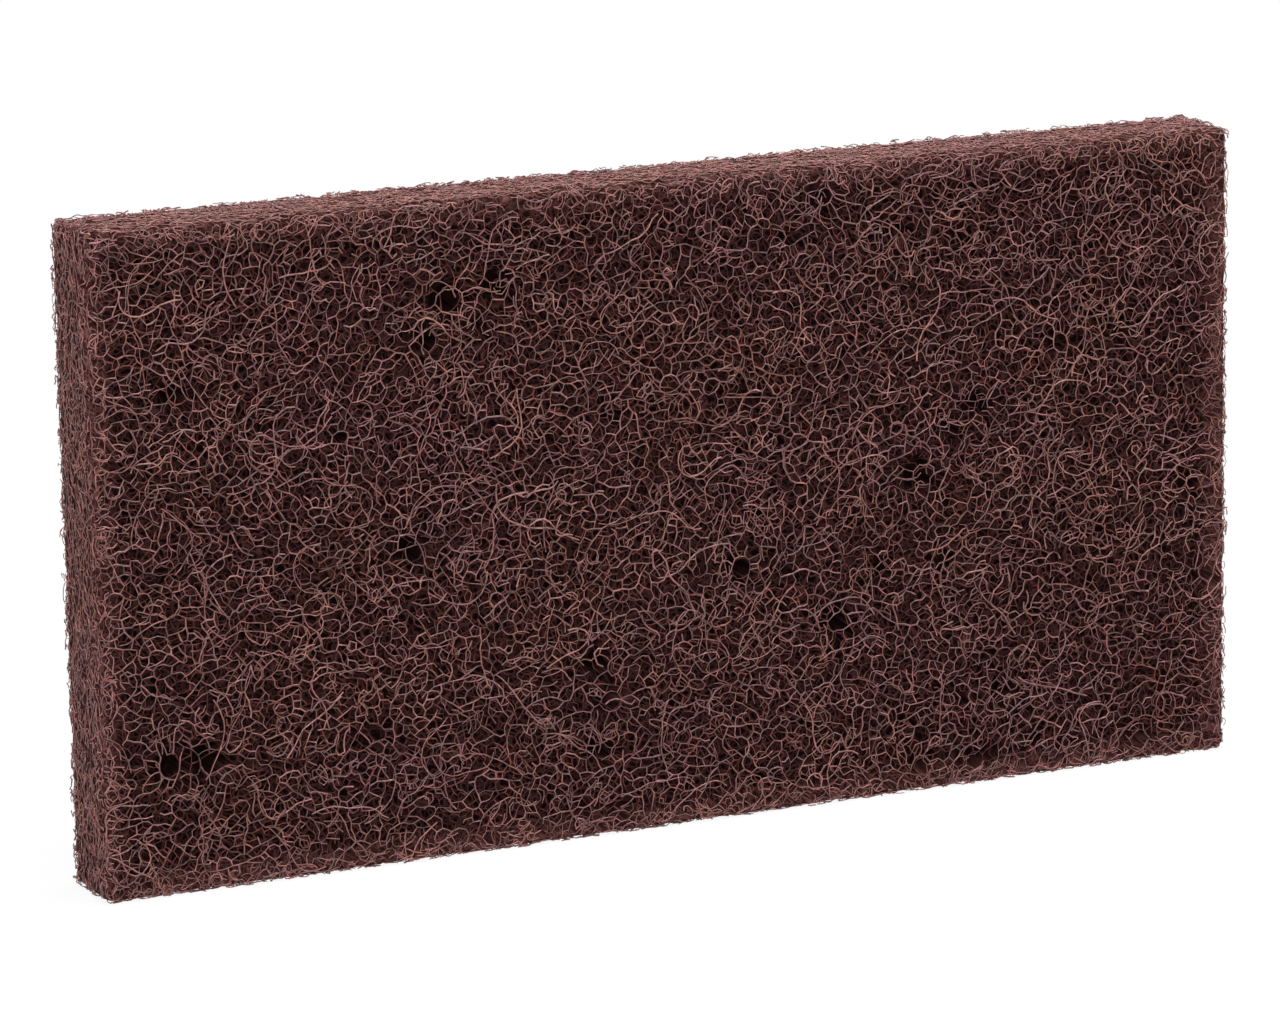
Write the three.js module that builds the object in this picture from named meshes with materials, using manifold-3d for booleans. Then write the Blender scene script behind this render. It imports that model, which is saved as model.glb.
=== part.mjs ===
// A heavy-duty nylon scouring pad, standing on one long cut edge.
//
// The real pad is one piece of nonwoven web. Crimped nylon fibres lie mostly parallel to the
// two large faces, a resin binds them where they cross, and a die cuts the pad out of a thick
// roll. So the pad is one solid here. Its surface is the web at a coarse scale: flat-topped
// strands that fork and join, with an open void between them wherever the web is loose. The
// large faces show wide, deep voids. The four cut edges show the lay of the web from the side,
// as shallow slots that run along the edge.
//
// Units are millimetres. +X runs along the length, +Y from the front face to the back face,
// and +Z is up. The origin is at the middle of the edge that the pad stands on.

import * as THREE from "three";
import { ConvexGeometry } from "three/addons/geometries/ConvexGeometry.js";
import { mergeVertices } from "three/addons/utils/BufferGeometryUtils.js";
import Module from "manifold-3d";

// Driving dimensions of the block
const padLength = 254;
const padHeight = 134.5;
const padThickness = 19;
const edgeSoftening = 1.6; // how far the large faces round over into the cut edges
const cornerRadius = 0.4; // corners of the large faces, inside that rounding
const roundingSteps = 2; // facets across each rounded edge

// The open web on the two large faces
const faceStrandWidth = 1.5; // flat top of a strand
const faceVoidPitch = 9.2; // mean distance between the middles of two voids
const faceVoidDepth = 5; // the deepest voids

// The web seen from the side, on the four cut edges
const edgeStrandWidth = 1.1;
const edgeSlotPitch = 12; // along the edge
const edgeLayerPitch = 4.6; // across the thickness, from one layer of the web to the next
const edgeSlotDepth = 1.6;

// The outermost voids stop this far inside the rim, at the most
const faceRaggedMargin = 1.6;
const edgeRaggedMargin = 0.5;

// How irregular the web is, as shares of a pitch or of the full depth
const rowStagger = 0.25;
const siteJitter = 0.36;
const mergedShare = 0.05; // voids that have run into a neighbour and made a wider one
const shallowestShare = 0.55;
const neighbourReach = 3; // pitches, past which a void has no say in another one's outline
const webSeed = 11;

// What the resin fills: voids of less than this area, and sides shorter than this
const smallestVoidArea = 5;
const shortestSide = 0.5;

// The cutters reach this far out of the face that they cut
const cutterReach = 0.25;

const wasm = await Module();
wasm.setup();

// A small repeatable random number source: the same seed always gives the same web.
function randomSource(seed) {
  let state = seed >>> 0;
  return () => {
    state = (state + 0x6d2b79f5) >>> 0;
    let mixed = Math.imul(state ^ (state >>> 15), state | 1);
    mixed ^= mixed + Math.imul(mixed ^ (mixed >>> 7), mixed | 61);
    return ((mixed ^ (mixed >>> 14)) >>> 0) / 4294967296;
  };
}

// A closed geometry as a solid that can be joined and cut.
function toSolid(geometry) {
  const bare = geometry.clone();
  bare.deleteAttribute("normal");
  bare.deleteAttribute("uv");
  const merged = mergeVertices(bare, 1e-4);
  return new wasm.Manifold(
    new wasm.Mesh({
      numProp: 3,
      vertProperties: merged.attributes.position.array,
      triVerts: new Uint32Array(merged.index.array),
    }),
  );
}

// A solid as a flat-shaded geometry.
function toGeometry(solid) {
  const mesh = solid.getMesh();
  const geometry = new THREE.BufferGeometry();
  geometry.setAttribute("position", new THREE.BufferAttribute(mesh.vertProperties, 3));
  geometry.setIndex(new THREE.BufferAttribute(mesh.triVerts, 1));
  const faceted = geometry.toNonIndexed();
  faceted.computeVertexNormals();
  return faceted;
}

// The block as the die cuts it: a rounded outline, with the large faces rounded over.
function block() {
  const halfLength = padLength / 2 - edgeSoftening;
  const halfHeight = padHeight / 2 - edgeSoftening;
  const straightX = halfLength - cornerRadius;
  const straightY = halfHeight - cornerRadius;
  const outline = new THREE.Shape();
  outline.absarc(straightX, -straightY, cornerRadius, -Math.PI / 2, 0);
  outline.absarc(straightX, straightY, cornerRadius, 0, Math.PI / 2);
  outline.absarc(-straightX, straightY, cornerRadius, Math.PI / 2, Math.PI);
  outline.absarc(-straightX, -straightY, cornerRadius, Math.PI, 1.5 * Math.PI);
  outline.closePath();
  const extruded = new THREE.ExtrudeGeometry(outline, {
    depth: padThickness - 2 * edgeSoftening,
    bevelEnabled: true,
    bevelThickness: edgeSoftening,
    bevelSize: edgeSoftening,
    bevelSegments: roundingSteps,
    curveSegments: roundingSteps,
  });
  extruded.translate(0, 0, -padThickness / 2 + edgeSoftening);
  extruded.rotateX(Math.PI / 2);
  extruded.translate(0, 0, padHeight / 2);
  return extruded;
}

// The part of a convex outline on the near side of a line: normal . point <= limit.
function clipped(outline, normal, limit) {
  const kept = [];
  outline.forEach((point, index) => {
    const next = outline[(index + 1) % outline.length];
    const here = normal.dot(point) - limit;
    const there = normal.dot(next) - limit;
    if (here <= 0) kept.push(point);
    if (here < 0 !== there < 0 && here !== there) {
      kept.push(point.clone().lerp(next, here / (here - there)));
    }
  });
  return kept;
}

function areaOf(outline) {
  return Math.abs(THREE.ShapeUtils.area(outline));
}

// The outline with the two ends of every very short side drawn together.
function withoutShortSides(outline) {
  const kept = [];
  for (const point of outline) {
    const last = kept[kept.length - 1];
    if (last && last.distanceTo(point) < shortestSide) last.lerp(point, 0.5);
    else kept.push(point.clone());
  }
  if (kept.length > 3 && kept[0].distanceTo(kept[kept.length - 1]) < shortestSide) kept.pop();
  return kept;
}

// The middles of the voids: a staggered grid, shaken, with some left out at random.
function voidSites(area, random) {
  const columns = Math.max(1, Math.round(area.width / area.pitchU));
  const rows = Math.max(1, Math.round(area.height / area.pitchV));
  const stepU = area.width / columns;
  const stepV = area.height / rows;
  const sites = [];
  for (let row = 0; row < rows; row += 1) {
    for (let column = 0; column < columns; column += 1) {
      const stagger = row % 2 ? rowStagger : -rowStagger;
      const u = (column + 0.5 + stagger + siteJitter * (2 * random() - 1)) * stepU;
      const v = (row + 0.5 + siteJitter * (2 * random() - 1)) * stepV;
      if (random() >= mergedShare) {
        sites.push(new THREE.Vector2(u - area.width / 2, v - area.height / 2));
      }
    }
  }
  return sites;
}

// Each void reaches as far as the strands halfway to its neighbours. Distances are measured
// in pitches, so a web that is stretched along an edge gets stretched voids.
function voidOutlines(area, random) {
  const sites = voidSites(area, random);
  const reach = neighbourReach * Math.max(area.pitchU, area.pitchV);
  return sites.map((site) => {
    const halfWidth = area.width / 2 - area.ragged * random();
    const halfHeight = area.height / 2 - area.ragged * random();
    let outline = [
      new THREE.Vector2(-halfWidth, -halfHeight),
      new THREE.Vector2(halfWidth, -halfHeight),
      new THREE.Vector2(halfWidth, halfHeight),
      new THREE.Vector2(-halfWidth, halfHeight),
    ];
    for (const other of sites) {
      const apart = other.clone().sub(site);
      if (other === site || apart.length() > reach) continue;
      const across = new THREE.Vector2(apart.x / area.pitchU ** 2, apart.y / area.pitchV ** 2);
      across.normalize();
      const middle = site.clone().add(other).multiplyScalar(0.5);
      outline = clipped(outline, across, across.dot(middle) - area.strand / 2);
      if (outline.length < 3) return [];
    }
    return withoutShortSides(outline);
  });
}

// A cutter for one void: a point at the bottom, opening to the void's outline at the face.
function voidCutter(outline, depth) {
  const middle = outline
    .reduce((sum, point) => sum.add(point), new THREE.Vector2())
    .divideScalar(outline.length);
  const flare = 1 + cutterReach / depth;
  const rim = outline.map((point) => {
    const out = point.clone().sub(middle).multiplyScalar(flare).add(middle);
    return new THREE.Vector3(out.x, out.y, cutterReach);
  });
  return new ConvexGeometry([...rim, new THREE.Vector3(middle.x, middle.y, -depth)]);
}

// All the cutters of one face, with the face's own u and v turned to where it lies.
function webCutters(area, seed) {
  const random = randomSource(seed);
  const fullArea = area.pitchU * area.pitchV;
  const place = new THREE.Matrix4()
    .makeBasis(area.u, area.v, area.u.clone().cross(area.v))
    .setPosition(area.middle);
  return voidOutlines(area, random)
    .filter((outline) => outline.length > 2 && areaOf(outline) > smallestVoidArea)
    .map((outline) => {
      const openness = Math.min(1, Math.sqrt(areaOf(outline) / fullArea));
      const share = shallowestShare + (1 - shallowestShare) * random();
      return toSolid(voidCutter(outline, area.depth * share * openness).applyMatrix4(place));
    });
}

// The six faces that carry the web. Each stops where the rounded edges begin.
function webbedFaces() {
  const x = new THREE.Vector3(1, 0, 0);
  const y = new THREE.Vector3(0, 1, 0);
  const z = new THREE.Vector3(0, 0, 1);
  const rim = edgeSoftening + cornerRadius + faceStrandWidth / 2;
  const large = {
    width: padLength - 2 * rim,
    height: padHeight - 2 * rim,
    pitchU: faceVoidPitch,
    pitchV: faceVoidPitch,
    strand: faceStrandWidth,
    depth: faceVoidDepth,
    ragged: faceRaggedMargin,
  };
  const edge = {
    height: padThickness - 2 * edgeSoftening - edgeStrandWidth,
    pitchU: edgeSlotPitch,
    pitchV: edgeLayerPitch,
    strand: edgeStrandWidth,
    depth: edgeSlotDepth,
    ragged: edgeRaggedMargin,
  };
  const along = { ...edge, width: padLength - 2 * rim };
  const upright = { ...edge, width: padHeight - 2 * rim };
  const middleZ = padHeight / 2;
  const at = (px, py, pz) => new THREE.Vector3(px, py, pz);
  return [
    { ...large, u: x, v: z, middle: at(0, -padThickness / 2, middleZ) },
    { ...large, u: x.clone().negate(), v: z, middle: at(0, padThickness / 2, middleZ) },
    { ...along, u: x, v: y, middle: at(0, 0, padHeight) },
    { ...along, u: x.clone().negate(), v: y, middle: at(0, 0, 0) },
    { ...upright, u: z, v: y, middle: at(-padLength / 2, 0, middleZ) },
    { ...upright, u: z.clone().negate(), v: y, middle: at(padLength / 2, 0, middleZ) },
  ];
}

function scouringPad() {
  const cutters = webbedFaces().flatMap((area, index) => webCutters(area, webSeed + index));
  const solid = wasm.Manifold.difference([toSolid(block()), ...cutters]);
  const web = new THREE.MeshStandardMaterial({
    color: 0x5c3330,
    roughness: 0.75,
    metalness: 0,
    flatShading: true,
  });
  const mesh = new THREE.Mesh(toGeometry(solid), web);
  mesh.name = "scouring_pad";
  return mesh;
}

const pad = new THREE.Group();
pad.name = "nylon_scouring_pad";
pad.add(scouringPad());

export default pad;
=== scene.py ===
# %% [markdown]
# # A nylon scouring pad
#
# The pad is a block of nonwoven web. Crimped nylon fibres are laid down in thin flat
# layers, sprayed with a dark maroon resin and cured, and a die cuts the block out of a
# thick roll. Nothing on it is a surface in the usual sense: what shows is thousands of
# curly strands, and between them the dark inside. So this scene grows the strands
# themselves.
#
# The steps are: load the fixed frame, place the camera, set the studio, grow the strands
# of the two large faces, grow the strands of the four cut edges, fill the inside, and
# colour it.

import math
from collections import deque

import bmesh
import bpy
import numpy as np
from mathutils import Matrix, Vector
from mathutils.geometry import delaunay_2d_cdt


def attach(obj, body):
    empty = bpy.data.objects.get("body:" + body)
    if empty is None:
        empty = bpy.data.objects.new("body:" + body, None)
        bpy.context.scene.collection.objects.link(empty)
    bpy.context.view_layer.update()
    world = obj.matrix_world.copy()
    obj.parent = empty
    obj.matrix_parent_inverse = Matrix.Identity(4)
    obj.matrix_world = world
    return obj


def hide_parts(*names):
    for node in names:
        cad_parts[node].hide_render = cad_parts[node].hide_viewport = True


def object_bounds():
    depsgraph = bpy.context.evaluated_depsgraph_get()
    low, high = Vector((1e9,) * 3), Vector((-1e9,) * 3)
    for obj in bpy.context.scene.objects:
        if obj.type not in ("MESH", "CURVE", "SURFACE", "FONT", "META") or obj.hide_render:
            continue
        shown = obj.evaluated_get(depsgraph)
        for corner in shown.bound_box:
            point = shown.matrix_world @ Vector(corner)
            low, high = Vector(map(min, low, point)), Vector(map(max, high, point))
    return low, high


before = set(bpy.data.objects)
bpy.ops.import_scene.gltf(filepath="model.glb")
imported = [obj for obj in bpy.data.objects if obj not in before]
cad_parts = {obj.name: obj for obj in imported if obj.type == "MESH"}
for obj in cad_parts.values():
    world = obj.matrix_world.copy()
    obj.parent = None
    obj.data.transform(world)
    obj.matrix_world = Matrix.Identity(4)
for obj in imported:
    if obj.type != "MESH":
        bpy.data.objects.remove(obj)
cad_low, cad_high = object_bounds()
MM = 0.001
length, thickness, height = ((cad_high - cad_low) / MM)[:]
print(f"pad: {length:.1f} x {thickness:.1f} x {height:.1f} mm")


# %% [markdown]
# ## The camera
#
# The camera stands to the left of the pad's front, a little above it, and far away, so
# the long edges hardly converge. It is placed by two angles round the pad, a distance and
# a small roll. Its focal length is given for a 36 mm sensor, which covers the long side
# of the frame.


# %% Camera
def placed_camera(azimuth, elevation, roll, distance, target, lens):
    """A camera at two angles round a target, its picture turned by roll, all in degrees."""
    turn, lift, tilt = (math.radians(angle) for angle in (azimuth, elevation, roll))
    back = Vector(
        (
            math.sin(turn) * math.cos(lift),
            -math.cos(turn) * math.cos(lift),
            math.sin(lift),
        )
    )
    right = (-back).cross(Vector((0, 0, 1))).normalized()
    up = back.cross(right)
    rolled_right = math.cos(tilt) * right + math.sin(tilt) * up
    rolled_up = math.cos(tilt) * up - math.sin(tilt) * right
    data = bpy.data.cameras.new("camera")
    data.sensor_width = 36
    data.lens = lens
    camera = bpy.data.objects.new("camera", data)
    axes = Matrix((rolled_right, rolled_up, back)).transposed()
    camera.matrix_world = Matrix.Translation(target + back * distance) @ axes.to_4x4()
    bpy.context.scene.collection.objects.link(camera)
    bpy.context.scene.camera = camera
    return camera


camera = placed_camera(
    azimuth=-24.613,
    elevation=12.651,
    roll=-0.952,
    distance=1.2229,
    target=Vector((-0.00569, 0, 0.06453)),
    lens=168.50,
)
print("camera at", [round(value, 3) for value in camera.matrix_world.translation])


# %% [markdown]
# ## Colours and nodes
#
# Colours are picked as they look on a screen, in sRGB, and Blender mixes light in linear
# values, so one function turns a hex colour into linear. One more function adds a node to
# a material and wires it up. Short ones for the commonest nodes keep each recipe
# readable.


# %% Colour and node helpers
def linear(hex_colour):
    """A screen colour such as "6E4644" as linear red, green, blue and alpha."""
    channels = [int(hex_colour[i : i + 2], 16) / 255 for i in (0, 2, 4)]
    return tuple(
        c / 12.92 if c <= 0.04045 else ((c + 0.055) / 1.055) ** 2.4 for c in channels
    ) + (1.0,)


def add_node(tree, kind, settings=None, inputs=None):
    """Adds a node. An input is a plain value, or an output socket of another node."""
    node = tree.nodes.new(kind)
    for name, value in (settings or {}).items():
        setattr(node, name, value)
    for name, value in (inputs or {}).items():
        if isinstance(value, bpy.types.NodeSocket):
            tree.links.new(value, node.inputs[name])
        else:
            node.inputs[name].default_value = value
    return node


def ranged(tree, value, came_from, goes_to, smooth=False):
    """A value carried from one range of numbers to another, and held at its two ends."""
    return add_node(
        tree,
        "ShaderNodeMapRange",
        {"interpolation_type": "SMOOTHSTEP" if smooth else "LINEAR"},
        {
            "Value": value,
            "From Min": came_from[0],
            "From Max": came_from[1],
            "To Min": goes_to[0],
            "To Max": goes_to[1],
        },
    ).outputs["Result"]


def calculated(tree, operation, first, second, use_clamp=False):
    """One sum, product or other operation on two values."""
    settings = {"operation": operation, "use_clamp": use_clamp}
    return add_node(tree, "ShaderNodeMath", settings, {0: first, 1: second}).outputs[0]


def blended(tree, share, first, second):
    """A colour that goes from the first to the second as the share goes from 0 to 1."""
    return add_node(
        tree,
        "ShaderNodeMix",
        {"data_type": "RGBA"},
        {"Factor": share, "A": first, "B": second},
    ).outputs["Result"]


def seen_directly(tree):
    """1 for what the camera sees itself, in a reflection or through glass, otherwise 0."""
    path = add_node(tree, "ShaderNodeLightPath")
    seen = calculated(
        tree, "ADD", path.outputs["Is Camera Ray"], path.outputs["Is Glossy Ray"]
    )
    return calculated(
        tree, "ADD", seen, path.outputs["Is Transmission Ray"], use_clamp=True
    )


def empty_material(name):
    """A material that has no nodes yet, and its node tree."""
    material = bpy.data.materials.new(name)
    material.use_nodes = True
    material.node_tree.nodes.clear()
    return material, material.node_tree


# %% [markdown]
# ## The studio
#
# The pad stands on a pale floor in front of white. The floor looks white to the camera,
# and a small share of it is a real matte surface, so a faint shadow stays under the pad.
# That share fades out away from the pad, so the floor has no visible edge. The world is
# white to the camera and in reflections, and gives a softer light to everything else.


# %% Floor
shadow_fades = (0.12, 0.40)  # metres from the origin
least_white_share = 0.90


def studio_floor_material():
    """White to the camera, apart from a small matte share near the pad."""
    material, tree = empty_material("white_studio_floor")
    coordinates = add_node(tree, "ShaderNodeTexCoord")
    distance = add_node(
        tree,
        "ShaderNodeVectorMath",
        {"operation": "LENGTH"},
        {"Vector": coordinates.outputs["Object"]},
    )
    white_share = ranged(
        tree, distance.outputs["Value"], shadow_fades, (least_white_share, 1.0)
    )
    share = calculated(tree, "MULTIPLY", seen_directly(tree), white_share)
    matte = add_node(
        tree, "ShaderNodeBsdfDiffuse", inputs={"Color": linear("E8E8E8")}
    )
    white = add_node(
        tree, "ShaderNodeEmission", inputs={"Color": (1, 1, 1, 1), "Strength": 1.0}
    )
    mixed = add_node(
        tree,
        "ShaderNodeMixShader",
        inputs={0: share, 1: matte.outputs[0], 2: white.outputs[0]},
    )
    add_node(tree, "ShaderNodeOutputMaterial", inputs={"Surface": mixed.outputs[0]})
    return material


def mesh_object(name, mesh):
    """Puts a finished mesh in the scene, with its object at the origin."""
    made = bpy.data.objects.new(name, mesh)
    bpy.context.scene.collection.objects.link(made)
    return made


floor_shape = bmesh.new()
bmesh.ops.create_circle(floor_shape, cap_ends=True, segments=96, radius=3.0)
floor_mesh = bpy.data.meshes.new("floor")
floor_shape.to_mesh(floor_mesh)
floor_shape.free()
floor = mesh_object("floor", floor_mesh)
floor_mesh.materials.append(studio_floor_material())


# %% World and lamps
surrounding_light = 0.55  # strength of the world for what isn't seen directly

world = bpy.data.worlds.new("studio")
bpy.context.scene.world = world
world.use_nodes = True
world_tree = world.node_tree
world_tree.nodes.clear()
world_strength = ranged(
    world_tree, seen_directly(world_tree), (0.0, 1.0), (surrounding_light, 1.0)
)
world_light = add_node(
    world_tree,
    "ShaderNodeBackground",
    inputs={"Color": (1, 1, 1, 1), "Strength": world_strength},
)
add_node(
    world_tree, "ShaderNodeOutputWorld", inputs={"Surface": world_light.outputs[0]}
)
bpy.context.scene.view_settings.view_transform = "Standard"


def soft_lamp(name, place, aim, size, power):
    """A square soft box at a place, turned to face a point."""
    data = bpy.data.lights.new(name, "AREA")
    data.shape = "SQUARE"
    data.size = size
    data.energy = power
    lamp = bpy.data.objects.new(name, data)
    lamp.location = place
    towards = Vector(aim) - Vector(place)
    lamp.rotation_euler = towards.to_track_quat("-Z", "Y").to_euler()
    bpy.context.scene.collection.objects.link(lamp)


pad_middle = (0, 0, height * MM / 2)
soft_lamp("overhead_box", (0.1, -0.15, 1.1), pad_middle, size=0.8, power=14)
soft_lamp("front_box", (-0.5, -1.2, 0.7), pad_middle, size=0.9, power=12)
print("studio ready")


# %% [markdown]
# ## The sides of the block
#
# Every layer of strands is planned flat, in two directions called u and v, and then laid
# on one side of the block at some depth below it. The die leaves the long edges and the
# corners a little soft, so a point near one is pulled onto a box with rounded edges. That
# box is smaller the deeper the point lies, so the layers follow each other round the
# edge.

# %% Sides and rounded edges
edge_radius = 1.9  # mm
strand_radius = 0.14  # mm, before a strand's own size and its thicker places
lowest_strand = 1.4 * strand_radius  # mm: the middle of one that lies on the floor
half_size = np.array([length, thickness, height]) / 2
block_middle = np.array([0, 0, height / 2])
x_way, y_way, z_way = np.eye(3)

# For each side: the ways of u and v, and the way that faces out
sides = {
    "front": (x_way, z_way, -y_way),
    "back": (x_way, z_way, y_way),
    "top": (x_way, y_way, z_way),
    "bottom": (x_way, y_way, -z_way),
    "left": (z_way, y_way, -x_way),
    "right": (z_way, y_way, x_way),
}


def span_of(side):
    """How far the side runs in u and in v."""
    along, across, _ = sides[side]
    return np.array([2 * half_size @ along, 2 * half_size @ across])


def above_floor(points):
    """Points raised to where a strand lies on the floor, if they are below that."""
    points[:, 2] = np.maximum(points[:, 2], lowest_strand)
    return points


def within_block(points, depths):
    """Points pulled back onto the rounded block, each at its own depth below it."""
    outer = half_size - depths[:, None]
    inner = outer - edge_radius
    offset = points - block_middle
    past = np.maximum(np.abs(offset) - inner, 0)
    distance = np.linalg.norm(past, axis=1, keepdims=True)
    pull = edge_radius / np.maximum(distance, edge_radius)
    kept = np.minimum(np.abs(offset), inner) + past * pull
    placed = np.sign(offset) * kept + block_middle
    return above_floor(placed)


def laid_on(side, plan):
    """Rows of u, v and depth as places on a side of the block."""
    along, across, outward = sides[side]
    corner = block_middle + half_size @ np.abs(outward) * outward
    corner = corner - half_size @ along * along - half_size @ across * across
    in_plane = corner + plan[:, :1] * along + plan[:, 1:2] * across
    return within_block(in_plane - plan[:, 2:] * outward, plan[:, 2])


# %% [markdown]
# ## A bonded net
#
# The resin binds the fibres where they touch, so a layer of web reads as an uneven net of
# small open cells. The middles of the cells are a staggered grid, shaken, with a few left
# out, so that some cells run together. Blender's own triangulation tells which cells are
# neighbours, and the middle of each triangle is a junction of three strands. The two that
# line up best are one fibre that runs on. The third one ends there, glued to it.

# %% Cells and junctions
shake = 0.52  # of a cell
cells_left_out = 0.12  # share of the cells
cells_beyond = 1.5  # the grid starts this many cells outside the side
spare_cells = 4  # columns and rows that the grid has more than the side
same_place = 1e-4  # cells


def cell_middles(random, span, voids):
    """Middles of a layer's cells, measured in cells, with a wide cell for each void."""
    columns, rows = (span + spare_cells).astype(int)
    column, row = np.meshgrid(np.arange(columns), np.arange(rows))
    staggered = np.stack((column + 0.5 * (row % 2), row), axis=-1)
    middles = staggered.reshape(-1, 2) - cells_beyond
    middles = middles + random.uniform(-shake, shake, middles.shape)
    kept = random.random(len(middles)) > cells_left_out
    for u, v, radius in voids:
        kept &= np.hypot(middles[:, 0] - u, middles[:, 1] - v) > radius
    return np.vstack((middles[kept], voids[:, :2]))


def junctions_round(middles):
    """Junctions of the strands round the cells, and the pairs that a strand joins."""
    corners, _, triangles = delaunay_2d_cdt(
        [Vector(middle) for middle in middles], [], [], 0, same_place
    )[:3]
    triangles = np.array(triangles)
    junctions = np.array([corner[:] for corner in corners])[triangles].mean(axis=1)
    borders = np.vstack((triangles[:, :2], triangles[:, 1:], triangles[:, ::2]))
    borders = np.sort(borders)
    owners = np.tile(np.arange(len(triangles)), 3)
    order = np.lexsort(borders.T)
    borders, owners = borders[order], owners[order]
    shared = np.flatnonzero(np.all(borders[1:] == borders[:-1], axis=1))
    return junctions, np.stack((owners[shared], owners[shared + 1]), axis=1)


# %% Fibres that run on through the junctions
links_broken = 0.11  # share of the links between two junctions
cut_back = (-0.3, 0.4)  # mm: where a net's strands end, inside the outline of its side
easing = 0.4  # how far a fibre's bend at a junction is smoothed out
shortest_way = 1e-9  # keeps two junctions in one place from dividing by nothing


def fibres_through(junctions, links):
    """Each fibre as its junctions in order. Each joins its straightest two links."""
    places = [complex(u, v) for u, v in junctions]
    meeting = [[] for _ in places]
    for link, (first, second) in enumerate(links):
        meeting[first].append((link, second))
        meeting[second].append((link, first))
    onward = {}
    for here, ways in enumerate(meeting):
        arms = [places[other] - places[here] for _, other in ways]
        arms = [arm / max(abs(arm), shortest_way) for arm in arms]
        bends = [
            ((arms[a] * arms[b].conjugate()).real, a, b)
            for a in range(len(ways))
            for b in range(a)
        ]
        if bends:
            _, a, b = min(bends)
            onward[here, ways[a][0]] = ways[b]
            onward[here, ways[b][0]] = ways[a]
    used = set()
    fibres = []
    for start, (first, second) in enumerate(links):
        if start in used:
            continue
        used.add(start)
        fibre = deque((first, second))
        for grow, here in ((fibre.append, second), (fibre.appendleft, first)):
            link = start
            while (here, link) in onward and onward[here, link][0] not in used:
                link, here = onward[here, link]
                used.add(link)
                grow(here)
        fibres.append(np.array(fibre))
    return fibres


def bonded_net(random, side, cell, depths, voids=()):
    """The strands of one layer of web, each as rows of x, y and z in millimetres."""
    voids = np.array(voids).reshape(-1, 3) / (cell[0], cell[1], cell[0])
    junctions, links = junctions_round(
        cell_middles(random, span_of(side) / cell, voids)
    )
    plan = np.empty((len(junctions), 3))
    plan[:, :2] = junctions * cell
    plan[:, 2] = random.uniform(*depths, len(plan))
    margin = random.uniform(*cut_back, len(plan))[:, None]
    inside = np.all(
        (plan[:, :2] > margin) & (plan[:, :2] < span_of(side) - margin), axis=1
    )
    whole = random.random(len(links)) > links_broken
    links = links[inside[links].all(axis=1) & whole]
    fibres = fibres_through(junctions, links.tolist())
    eased = plan.copy()
    for fibre in fibres:
        between = (plan[fibre[:-2]] + plan[fibre[2:]]) / 2
        eased[fibre[1:-1]] = (1 - easing) * plan[fibre[1:-1]] + easing * between
    placed = laid_on(side, eased)
    return [placed[fibre] for fibre in fibres]


# %% [markdown]
# ## Loose fibres
#
# Some fibres are bound at only a few places and cross many cells in a long, slow curve,
# and others are short and curly. Each is a walk: a heading that turns by a slowly
# changing bend, and a depth that changes slowly. All of them are walked side by side with
# numpy.

# %% Walks
noise_reach = 2.5  # strides over which the bend and the depth keep their value


def slow_noise(random, count, steps):
    """Rows of noise with a spread of 1 that changes slowly from stride to stride."""
    keep = math.exp(-1 / noise_reach)
    rows = np.empty((count, steps))
    rows[:, 0] = random.standard_normal(count)
    for step in range(1, steps):
        fresh = random.standard_normal(count)
        rows[:, step] = keep * rows[:, step - 1] + math.sqrt(1 - keep**2) * fresh
    return rows


def loose_fibres(random, side, density, stride, steps, curl, depths, border=None):
    """Curved fibres on a side, each as rows of x, y and z in millimetres.

    The density is in millimetres of fibre on a square millimetre. With a border, only those
    fibres are kept that lie in a strip of that width along the outline of the side."""
    span = span_of(side)
    count = round(density * span.prod() / (stride * (steps - 1)))
    bend = curl * slow_noise(random, count, steps) * stride
    heading = random.uniform(0, 2 * math.pi, (count, 1)) + np.cumsum(bend, axis=1)
    ways = np.stack((np.cos(heading), np.sin(heading)), axis=-1)
    start = random.uniform((0, 0), span, (count, 2))
    plan = np.empty((count, steps, 3))
    plan[:, :, :2] = start[:, None] + np.cumsum(ways, axis=1) * stride
    middle = sum(depths) / 2
    swing = (depths[1] - depths[0]) / 4  # so that nearly all of the noise is in range
    plan[:, :, 2] = np.clip(
        middle + swing * slow_noise(random, count, steps), depths[0], depths[1]
    )
    # A fibre that would leave the side is folded back onto it
    plan[:, :, :2] = span - np.abs(span - np.abs(plan[:, :, :2]))
    if border:
        middles = plan[:, :, :2].mean(axis=1)
        plan = plan[np.minimum(middles, span - middles).min(axis=1) < border]
    return list(laid_on(side, plan.reshape(-1, 3)).reshape(len(plan), steps, 3))


# %% [markdown]
# ## From rows of points to strands
#
# Each web is one curve object with a spline for each strand. A small triangle is swept
# along every spline as its bevel. Three sides are enough for a strand that is two pixels
# wide in the picture, and smooth shading makes it look round. A strand is thicker in
# places, where resin has run together, and a long link bows a little. The curve is then
# made a mesh, and each strand gets a shade of its own.

# %% Sweeping the strands
longest_straight = 1.9  # mm: a longer link gets a point in its middle
bow = 0.07  # how far to one side that point lies, as a share of the link
profile_sides = 3
cap_vertices = 2 * profile_sides  # the two caps of a strand have their own
strand_sizes = (0.65, 1.3)  # from the thinnest strand to the thickest
swellings = (0.85, 1.2)  # from the thinnest place in a strand to the thickest


def bowed(random, strand):
    """The strand with a point added in each long link."""
    gaps = np.linalg.norm(np.diff(strand, axis=0), axis=1)
    long = np.flatnonzero(gaps > longest_straight)
    middles = (strand[long] + strand[long + 1]) / 2
    aside = random.normal(0, bow, (len(long), 3)) * gaps[long, None]
    return above_floor(np.insert(strand, long + 1, middles + aside, axis=0))


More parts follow.
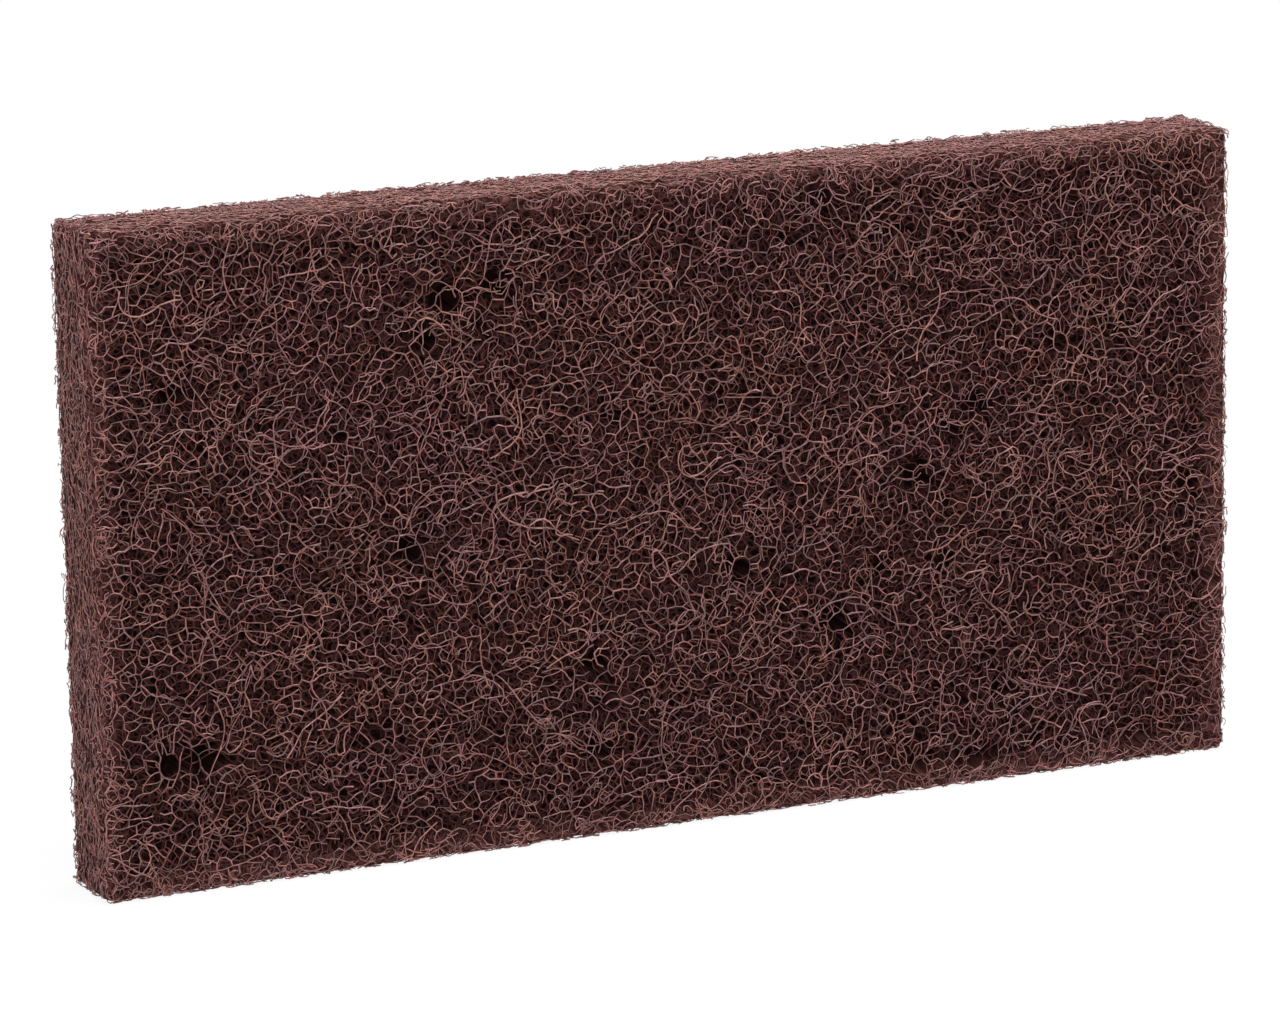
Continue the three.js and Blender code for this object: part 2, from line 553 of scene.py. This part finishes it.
def strand_profile(radius):
    """The triangle that is swept along each strand."""
    curve = bpy.data.curves.new("strand_profile", "CURVE")
    spline = curve.splines.new("POLY")
    spline.points.add(profile_sides - 1)
    for index, point in enumerate(spline.points):
        angle = 2 * math.pi * index / profile_sides
        point.co = (radius * MM * math.cos(angle), radius * MM * math.sin(angle), 0, 1)
    spline.use_cyclic_u = True
    made = bpy.data.objects.new("strand_profile", curve)
    bpy.context.scene.collection.objects.link(made)
    return made


def swept_web(name, random, strands, radius=strand_radius):
    """A mesh of these strands. Its attribute called shade has one value for each strand."""
    strands = [bowed(random, strand) for strand in strands]
    profile = strand_profile(radius)
    curve = bpy.data.curves.new(name, "CURVE")
    curve.dimensions = "3D"
    curve.bevel_mode = "OBJECT"
    curve.bevel_object = profile
    curve.use_fill_caps = True
    sizes = random.uniform(*strand_sizes, len(strands))
    for strand, size in zip(strands, sizes):
        spline = curve.splines.new("POLY")
        spline.points.add(len(strand) - 1)
        rows = np.ones((len(strand), 4), np.float32)
        rows[:, :3] = strand * MM
        spline.points.foreach_set("co", rows.ravel())
        swelling = size * random.uniform(*swellings, len(strand))
        spline.points.foreach_set("radius", swelling.astype(np.float32))
    source = bpy.data.objects.new(name + "_curve", curve)
    bpy.context.scene.collection.objects.link(source)
    depsgraph = bpy.context.evaluated_depsgraph_get()
    mesh = bpy.data.meshes.new_from_object(source.evaluated_get(depsgraph))
    mesh.name = name
    for used in (source, profile):
        bpy.data.objects.remove(used)
    mesh.shade_smooth()
    vertices = [profile_sides * len(strand) + cap_vertices for strand in strands]
    shade = np.repeat(random.random(len(strands)), vertices).astype(np.float32)
    mesh.attributes.new("shade", "FLOAT", "POINT").data.foreach_set("value", shade)
    triangles = sum(len(face.vertices) - 2 for face in mesh.polygons)
    print(f"{name}: {len(strands)} strands, {triangles} triangles")
    return mesh_object(name, mesh)


# %% [markdown]
# ## The web of the two large faces
#
# Each large face has two nets. The outer one goes from just proud of the face to a
# millimetre below it, and has the loose fibres over it. The inner one shows through its
# cells, about half a millimetre deeper, and has finer cells of its own. In a few places
# both open round the same void, and there the eye falls into the dark.

# %% Large faces
voids_a_face = 70
void_margin = 4  # mm from the outline of the face
smallest_void = 1.9  # mm, in radius
widest_more = 1.7  # mm that the widest void has more

# Cells in u and v, and depths of the junctions, in mm. Proud of the face is below zero
outer_net = {"cell": (2.35, 2.15), "depths": (-0.15, 1.0)}
inner_net = {"cell": (1.85, 1.8), "depths": (0.5, 1.5)}

# See loose_fibres. A fibre has one stride less than it has steps, and a stride is in mm
long_curves = {
    "density": 0.10,
    "stride": 1.6,
    "steps": 12,
    "curl": 0.2,
    "depths": (-0.1, 0.5),
}
short_curves = {
    "density": 0.28,
    "stride": 1.3,
    "steps": 7,
    "curl": 0.6,
    "depths": (-0.1, 0.8),
}


def face_voids(random, span):
    """Rows of u, v and radius. Most of the voids are small."""
    low = (void_margin, void_margin)
    places = random.uniform(low, span - void_margin, (voids_a_face, 2))
    radii = smallest_void + widest_more * random.random(voids_a_face) ** 2
    return np.column_stack((places, radii))


outer_webs = []
inner_webs = []
deep_voids = {}
for side, seed in (("front", 21), ("back", 41)):
    random = np.random.default_rng(seed)
    voids = face_voids(random, span_of(side))
    outer = bonded_net(random, side, **outer_net, voids=voids)
    outer += loose_fibres(random, side, **long_curves)
    outer += loose_fibres(random, side, **short_curves)
    inner = bonded_net(random, side, **inner_net, voids=voids)
    outer_webs.append(swept_web(side + "_web_outer", random, outer))
    inner_webs.append(swept_web(side + "_web_inner", random, inner))
    deep_voids[side] = voids


# %% [markdown]
# ## The web on the four cut edges
#
# The die cuts across the layers, so an edge shows them from the side: small flat cells,
# nearly twice as long along the edge as they are high. Over that net lie short, curly
# ends, some of them proud of the cut. More curly ends make a denser, softer strip along
# the outline of the large faces. All of these strands are a little finer than those of
# the faces.

# %% Cut edges
edge_net = {"cell": (1.9, 1.05), "depths": (-0.1, 0.5)}
cut_ends = {
    "density": 0.95,
    "stride": 0.8,
    "steps": 6,
    "curl": 0.9,
    "depths": (-0.5, 0.35),
}
border_ends = {
    "density": 1.3,
    "stride": 0.9,
    "steps": 6,
    "curl": 0.7,
    "depths": (-0.25, 0.4),
    "border": 3.5,  # mm
}
fine_radius = 0.85 * strand_radius


def edge_web(name, seed, sides_of_it):
    """One mesh for two opposite cut edges."""
    random = np.random.default_rng(seed)
    strands = []
    for side in sides_of_it:
        strands += bonded_net(random, side, **edge_net)
        strands += loose_fibres(random, side, **cut_ends)
    return swept_web(name, random, strands, radius=fine_radius)


def border_web(name, seed):
    """One mesh for the curly ends along the outlines of both large faces."""
    random = np.random.default_rng(seed)
    strands = []
    for side in ("front", "back"):
        strands += loose_fibres(random, side, **border_ends)
    return swept_web(name, random, strands, radius=fine_radius)


edge_webs = [
    edge_web("long_edge_web", seed=61, sides_of_it=("top", "bottom")),
    edge_web("short_edge_web", seed=62, sides_of_it=("left", "right")),
    border_web("border_web", seed=63),
]


# %% [markdown]
# ## The inside
#
# Below about two millimetres the strands are only dim shapes in the dark. Growing them
# all would take millions of faces, so the inside is one closed block, a little smaller
# than the pad, and its material draws the dim strands. Its rim comes almost up to the
# surface, so that no light shows through along the edges. It is pushed in where the web
# has a deep void.

# %% Inner block
face_clearance = 1.9  # mm from a large face down to the inner block
rim_clearance = 0.45  # mm from any side down to it, near the edges
rim_width = 1.5  # mm from the outline of the pad. The block sinks over 1 mm from there
dent_skirt = 1  # mm that a dent is wider than its void
dent_steepness = 2  # depth of a dent, in radii of its void
core_rounding = 1.2  # mm, on the block's own edges
core_grid = 2.4  # mm between two cuts
first_cut, last_cut = 2.5, 2  # mm inside the outline of the pad
on_the_cut = 1e-6  # metres


def dented(shape):
    """Pushes the large faces of the inner block in, and further in where a void is."""
    for side, voids in deep_voids.items():
        outward = sides[side][2][1]
        skin = [vertex for vertex in shape.verts if vertex.co.y * outward > 0]
        places = np.array([vertex.co for vertex in skin]) / MM
        from_edge = (half_size - np.abs(places - block_middle))[:, [0, 2]].min(axis=1)
        sink = face_clearance - rim_clearance
        depth = sink * np.clip(from_edge - rim_width, 0, 1)
        for u, v, radius in voids:
            away = np.hypot(places[:, 0] + length / 2 - u, places[:, 2] - v)
            share = np.clip(1 - (away / (radius + dent_skirt)) ** 2, 0, 1)
            depth = np.maximum(depth, dent_steepness * radius * share)
        for vertex, inward in zip(skin, depth):
            vertex.co.y -= outward * inward * MM


def inner_block():
    """The closed block, cut in a grid so that its large faces can be pushed in."""
    shape = bmesh.new()
    bmesh.ops.create_cube(shape, size=1)
    clearance = Vector((1, 1, 1)) * rim_clearance * MM
    bmesh.ops.scale(
        shape,
        vec=Vector((length, thickness, height)) * MM - 2 * clearance,
        verts=shape.verts,
    )
    bmesh.ops.bevel(
        shape,
        geom=shape.edges,
        offset=core_rounding * MM,
        affect="EDGES",
        segments=2,
        profile=0.5,
        material=-1,
    )
    bmesh.ops.translate(
        shape, vec=Vector((0, 0, height * MM / 2)), verts=shape.verts
    )
    for axis, size in ((0, length), (2, height)):
        normal = Vector((axis == 0, 0, axis == 2))
        low = block_middle[axis] - size / 2
        for cut in np.arange(low + first_cut, low + size - last_cut, core_grid):
            bmesh.ops.bisect_plane(
                shape,
                geom=shape.verts[:] + shape.edges[:] + shape.faces[:],
                dist=on_the_cut,
                plane_co=normal * cut * MM,
                plane_no=normal,
            )
    dented(shape)
    bmesh.ops.recalc_face_normals(shape, faces=shape.faces)
    mesh = bpy.data.meshes.new("web_inside")
    shape.to_mesh(mesh)
    shape.free()
    mesh.shade_smooth()
    return mesh_object("web_inside", mesh)


core = inner_block()
print("inside:", len(core.data.polygons), "faces")


# %% [markdown]
# ## The finish of the strands
#
# The strands are nylon in a cured phenolic resin with grit in it: dark maroon-brown, half
# matt, with small glints where the resin has pooled. The glints are partly real gloss and
# partly painted highlight, a lighter colour where the coat is glossiest. One strand is
# lighter than another, patches of the web lean to plum and others to brown, and a painted
# shade makes it all darker towards the inside of the pad.


# %% Depth below the surface
def depth_below_surface(tree):
    """Sockets for a place, its depth below the rounded sides and its distance from the
    nearest cut edge, both in millimetres."""

    def vector(operation, inputs):
        return add_node(tree, "ShaderNodeVectorMath", {"operation": operation}, inputs)

    def number(operation, first, second):
        return calculated(tree, operation, first, second)

    place = add_node(tree, "ShaderNodeTexCoord").outputs["Object"]
    in_mm = vector("SCALE", {0: place, "Scale": 1 / MM}).outputs[0]
    centred = vector("SUBTRACT", {0: in_mm, 1: tuple(block_middle)}).outputs[0]
    size = vector("ABSOLUTE", {0: centred}).outputs[0]
    # past is how far the point lies beyond the flat part of each side
    past = vector("SUBTRACT", {0: size, 1: tuple(half_size - edge_radius)}).outputs[0]
    corner = vector("MAXIMUM", {0: past, 1: (0.0, 0.0, 0.0)}).outputs[0]
    from_middle = vector("LENGTH", {0: corner}).outputs["Value"]
    split = add_node(tree, "ShaderNodeSeparateXYZ", inputs={"Vector": past})
    past_cut_edge = number("MAXIMUM", split.outputs["X"], split.outputs["Z"])
    most_past = number("MAXIMUM", past_cut_edge, split.outputs["Y"])
    inside = number("MINIMUM", most_past, 0.0)
    depth = number("SUBTRACT", edge_radius, number("ADD", from_middle, inside))
    return place, depth, number("SUBTRACT", edge_radius, past_cut_edge)


# %% Resin-coated strands
noise_spread = (0.3, 0.7)  # where nearly all values of a noise texture lie
patch_scale = 60.0  # patches a metre
grit_scale = 1100.0  # grains a metre
grit_height = 0.00008  # metres
strand_shades = (0.65, 1.35)  # from the darkest strand to the lightest
# Painted shade: from here down, the strands are darkened with depth below the surface
painted_shade_from = -0.1  # mm: just proud of the surface
painted_shade_levels = (1.1, 0.15)  # there, and at the darkest depth
# Partly painted highlight: the coat's colour varies along a strand and is lightest where it
# is glossiest, standing in for glints
coat_and_glint_shades = (0.45, 1.5)  # from place to place along a strand
coat_roughness = (0.6, 0.25)  # glossiest where the coat is lightest


def resin_strand_material(name, plum, brown, specular, darkest_shade_depth):
    """The coated strands, with a painted shade that darkens them with depth. They are
    darkest from this many millimetres down.
    """
    material, tree = empty_material(name)
    place, depth, _ = depth_below_surface(tree)
    shade = add_node(tree, "ShaderNodeAttribute", {"attribute_name": "shade"})
    patches = add_node(
        tree,
        "ShaderNodeTexNoise",
        inputs={"Vector": place, "Scale": patch_scale, "Detail": 2.0},
    )
    hue = blended(tree, patches.outputs["Fac"], linear(plum), linear(brown))
    grit = add_node(
        tree,
        "ShaderNodeTexNoise",
        inputs={"Vector": place, "Scale": grit_scale, "Detail": 2.0},
    ).outputs["Fac"]
    light_strand = ranged(tree, shade.outputs["Fac"], (0.0, 1.0), strand_shades)
    # Painted shade: darker with depth, where the strands above would shade them
    painted_depth_shade = ranged(tree, depth, (painted_shade_from, darkest_shade_depth), painted_shade_levels, smooth=True)
    # Painted glints: a lighter colour where the grit noise also makes the coat glossiest
    coat_and_glint = ranged(tree, grit, noise_spread, coat_and_glint_shades)
    level = calculated(tree, "MULTIPLY", light_strand, painted_depth_shade)
    coat_and_glint_level = calculated(tree, "MULTIPLY", level, coat_and_glint)
    colour = add_node(
        tree,
        "ShaderNodeVectorMath",
        {"operation": "SCALE"},
        {0: hue, "Scale": coat_and_glint_level},
    )
    roughness = ranged(tree, grit, noise_spread, coat_roughness)
    bump = add_node(
        tree,
        "ShaderNodeBump",
        inputs={
            "Height": grit,
            "Distance": grit_height,
            "Strength": 0.5,
        },
    )
    surface = add_node(
        tree,
        "ShaderNodeBsdfPrincipled",
        inputs={
            "Base Color": colour.outputs["Vector"],
            "Roughness": roughness,
            "Specular IOR Level": specular,
            "Normal": bump.outputs["Normal"],
        },
    )
    add_node(tree, "ShaderNodeOutputMaterial", inputs={"Surface": surface.outputs[0]})
    return material


# %% [markdown]
# ## The finish of the inside
#
# What shows between the strands is more web, dimmer and dimmer: painted shade. The
# material draws three nets over near-black maroon, each one fainter. They are drawn flat
# and seen at a slant, so that they have some shape on every side of the block. Near the
# cut edges the web is denser and lets some light through, and that light is painted: the
# inside is lighter and redder there.


# %% Dim inside
# Painted shade: each deeper net is drawn fainter
drawn_nets = (  # brightness, cell in mm and shift in metres
    (1.0, 2.5, 0.0),
    (0.65, 2.1, 0.5),
    (0.4, 1.8, 1.1),
)
line_core, line_edge = 0.09, 0.225  # mm to each side, full there and gone there
faintest_stretch = 0.35  # of a net's brightness
slant = (math.radians(65), math.radians(25), 0.0)
wander_size = 0.003  # metres
wander_scale = 300.0  # bends a metre
# Painted light: near the cut edges the inside is drawn lighter, as if light came through
edge_glow = (2.0, 7.0)  # mm from a cut edge, where the lighter colours fade out
darkest_inside = 5.0  # mm down
darkest_share = 0.15  # of the nets' brightness there


def drawn_net(tree, place, brightness, cell, shift):
    """A net of curved lines of one width, drawn round uneven cells on a slanted plane."""
    slanted = add_node(
        tree,
        "ShaderNodeMapping",
        inputs={
            "Vector": place,
            "Location": (shift, shift, 0.0),
            "Rotation": slant,
        },
    )
    wander = add_node(
        tree,
        "ShaderNodeTexNoise",
        {"noise_dimensions": "2D"},
        {"Vector": slanted.outputs["Vector"], "Scale": wander_scale, "Detail": 1.0},
    )
    bent = add_node(
        tree,
        "ShaderNodeVectorMath",
        {"operation": "MULTIPLY_ADD"},
        {
            0: wander.outputs["Color"],
            1: (wander_size, wander_size, 0.0),
            2: slanted.outputs["Vector"],
        },
    )
    cells = add_node(
        tree,
        "ShaderNodeTexVoronoi",
        {"feature": "DISTANCE_TO_EDGE", "voronoi_dimensions": "2D"},
        {"Vector": bent.outputs["Vector"], "Scale": 1 / (cell * MM)},
    )
    line = ranged(
        tree,
        cells.outputs["Distance"],
        (line_core / cell, line_edge / cell),
        (1.0, 0.0),
        smooth=True,
    )
    fade = ranged(
        tree,
        wander.outputs["Fac"],
        noise_spread,
        (faintest_stretch * brightness, brightness),
    )
    return calculated(tree, "MULTIPLY", line, fade)


def dim_inside_material():
    """Three drawn nets over near-black, all painted shade: darker in the dents, with
    painted light near the edges.
    """
    material, tree = empty_material("web_seen_deep_inside")
    place, depth, from_cut_edge = depth_below_surface(tree)
    nets = [drawn_net(tree, place, *net) for net in drawn_nets]
    brightest = nets[0]
    for net in nets[1:]:
        brightest = calculated(tree, "MAXIMUM", brightest, net)
    # Painted shade: the nets fade further down, in the dents of the block
    painted_depth_shade = ranged(tree, depth, (face_clearance, darkest_inside), (1.0, darkest_share))
    seen = calculated(tree, "MULTIPLY", brightest, painted_depth_shade)
    # Painted light: light through the thinner web near the cut edges, drawn as lighter and
    # redder colours
    light_through_edge = ranged(tree, from_cut_edge, edge_glow, (1.0, 0.0), smooth=True)
    # Near-black painted shade behind the nets, and the dim colour of the nets themselves
    dark = blended(tree, light_through_edge, linear("0A0303"), linear("2A1614"))
    light = blended(tree, light_through_edge, linear("442826"), linear("66423E"))
    colour = blended(tree, seen, dark, light)
    surface = add_node(
        tree,
        "ShaderNodeBsdfPrincipled",
        inputs={
            "Base Color": colour,
            "Roughness": 0.9,
            "Specular IOR Level": 0.03,
        },
    )
    add_node(tree, "ShaderNodeOutputMaterial", inputs={"Surface": surface.outputs[0]})
    return material


# %% Put the finishes on and hang everything on the pad's one body
outer_finish = resin_strand_material(
    "resin_coated_nylon",
    plum="704448",
    brown="7A4C3E",
    specular=0.8,
    darkest_shade_depth=1.5,
)
# A shaded copy of the strand finish for the inner nets: its reflection is turned down as
# painted shade, because the outer net shades them
inner_finish = resin_strand_material(
    "resin_coated_nylon_in_shade",
    plum="744447",
    brown="7C4C3E",
    specular=0.08,
    darkest_shade_depth=1.6,
)
cut_finish = resin_strand_material(
    "resin_coated_nylon_cut_edge",
    plum="784A4A",
    brown="825248",
    specular=0.6,
    darkest_shade_depth=0.9,
)
for webs, finish in (
    (outer_webs, outer_finish),
    (inner_webs, inner_finish),
    (edge_webs, cut_finish),
):
    for web in webs:
        web.data.materials.append(finish)
core.data.materials.append(dim_inside_material())
pieces = outer_webs + inner_webs + edge_webs + [core]
for piece in pieces:
    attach(piece, "root")
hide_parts("scouring_pad")
print("pieces:", ", ".join(piece.name for piece in pieces))
